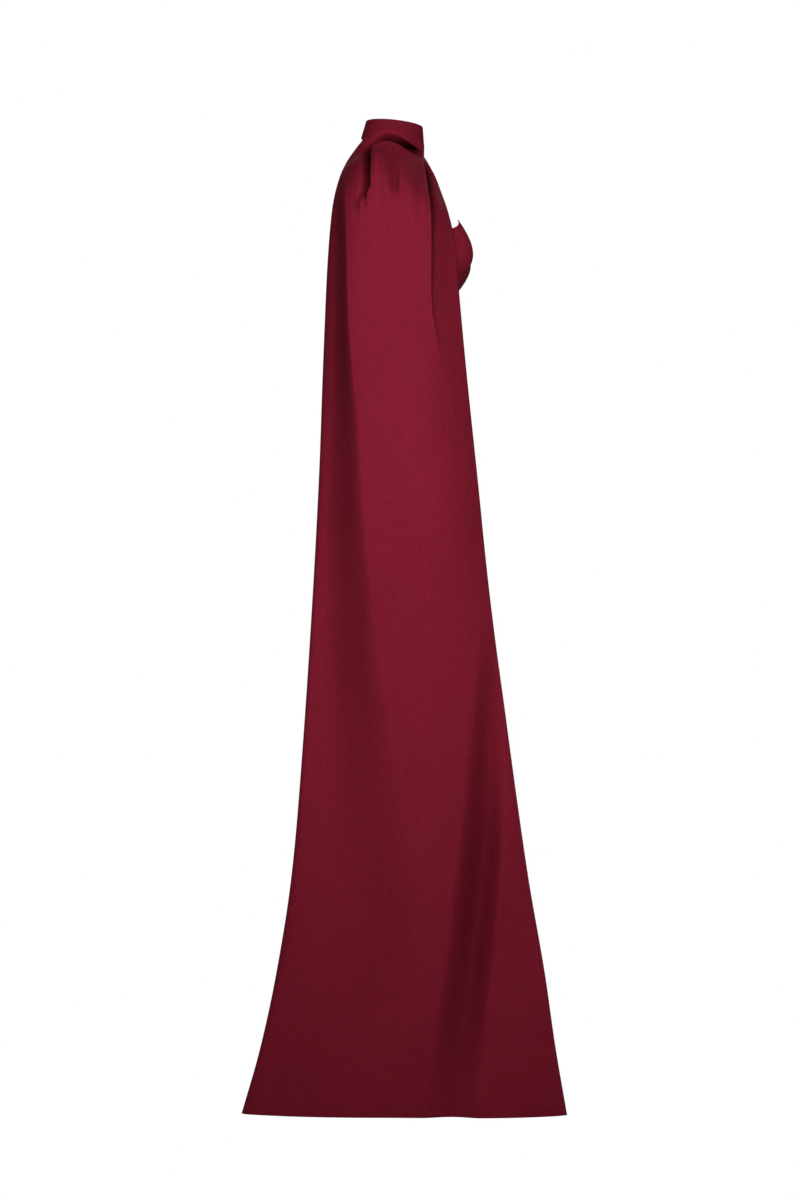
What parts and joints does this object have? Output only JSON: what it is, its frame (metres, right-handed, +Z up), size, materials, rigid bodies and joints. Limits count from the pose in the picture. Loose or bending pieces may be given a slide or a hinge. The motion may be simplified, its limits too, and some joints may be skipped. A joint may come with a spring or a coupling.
{
  "type": "evening gown",
  "caption": "Floor-length strapless evening gown with pointed sweetheart cups, a neckband and one full-length cape that falls from it over the right shoulder.",
  "frame": {"origin": "centre of the neckband, where the wearer's neck holds the gown", "axes": "+Z up, the wearer faces -Y, and the wearer's right side, where the cape falls, is -X"},
  "size_m": [0.459, 0.5118, 1.6002],
  "materials": {
    "crepe": "crimson satin-backed crepe, soft sheen"
  },
  "bodies": {
    "root": {"neckband": "crepe", "cape": "crepe", "bodice_front": "crepe", "bodice_side_right": "crepe", "bodice_side_left": "crepe", "bodice_back_right": "crepe", "bodice_back_left": "crepe", "skirt_front": "crepe", "skirt_back_right": "crepe", "skirt_back_left": "crepe"}
  },
  "joints": []
}
